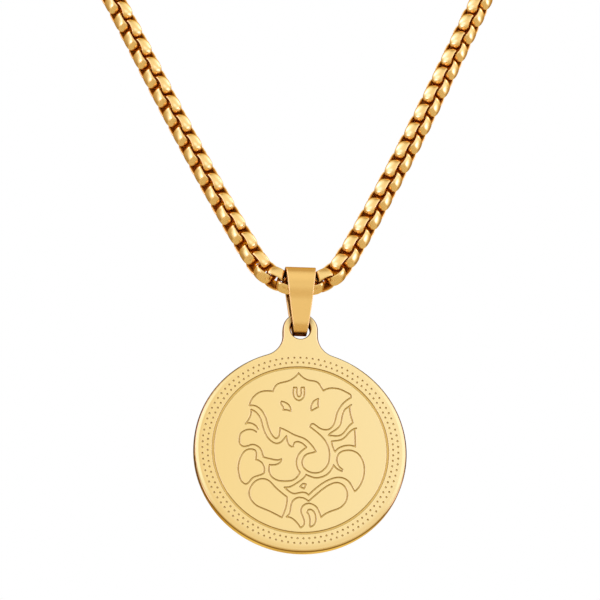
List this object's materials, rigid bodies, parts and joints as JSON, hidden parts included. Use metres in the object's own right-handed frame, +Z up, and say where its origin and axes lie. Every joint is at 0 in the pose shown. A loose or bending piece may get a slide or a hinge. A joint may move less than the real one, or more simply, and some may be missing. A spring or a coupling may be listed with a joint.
{
  "type": "pendant necklace",
  "caption": "Round metal disc with an engraved line figure, hung by a folded bail that swings on a round box chain closed at the nape.",
  "frame": {"origin": "middle of the neck opening, level with the chain at the nape", "axes": "+Z up, the pendant hangs in front at -Y, +X to the right of someone who looks at the pendant's face"},
  "size_m": [0.1082, 0.1122, 0.1606],
  "materials": {
    "medallion": "satin, gold coloured",
    "bail": "satin, gold coloured",
    "chain": "polished, gold coloured",
    "findings": "polished, gold coloured"
  },
  "bodies": {
    "chain": {"chain": "chain", "ring_left": "findings", "ring_right": "findings", "clasp": "findings"},
    "bail": {"bail": "bail"},
    "medallion": {"medallion": "medallion"}
  },
  "joints": [
    {"name": "bail_swing", "type": "hinge", "parent": "chain", "child": "bail", "pos_m": [0, -0.056, -0.118], "axis": [1, 0, 0], "range_deg": [-75, 75]},
    {"name": "medallion_swing", "type": "hinge", "parent": "bail", "child": "medallion", "pos_m": [0, -0.056, -0.1235], "axis": [1, 0, 0], "range_deg": [-45, 45]}
  ]
}
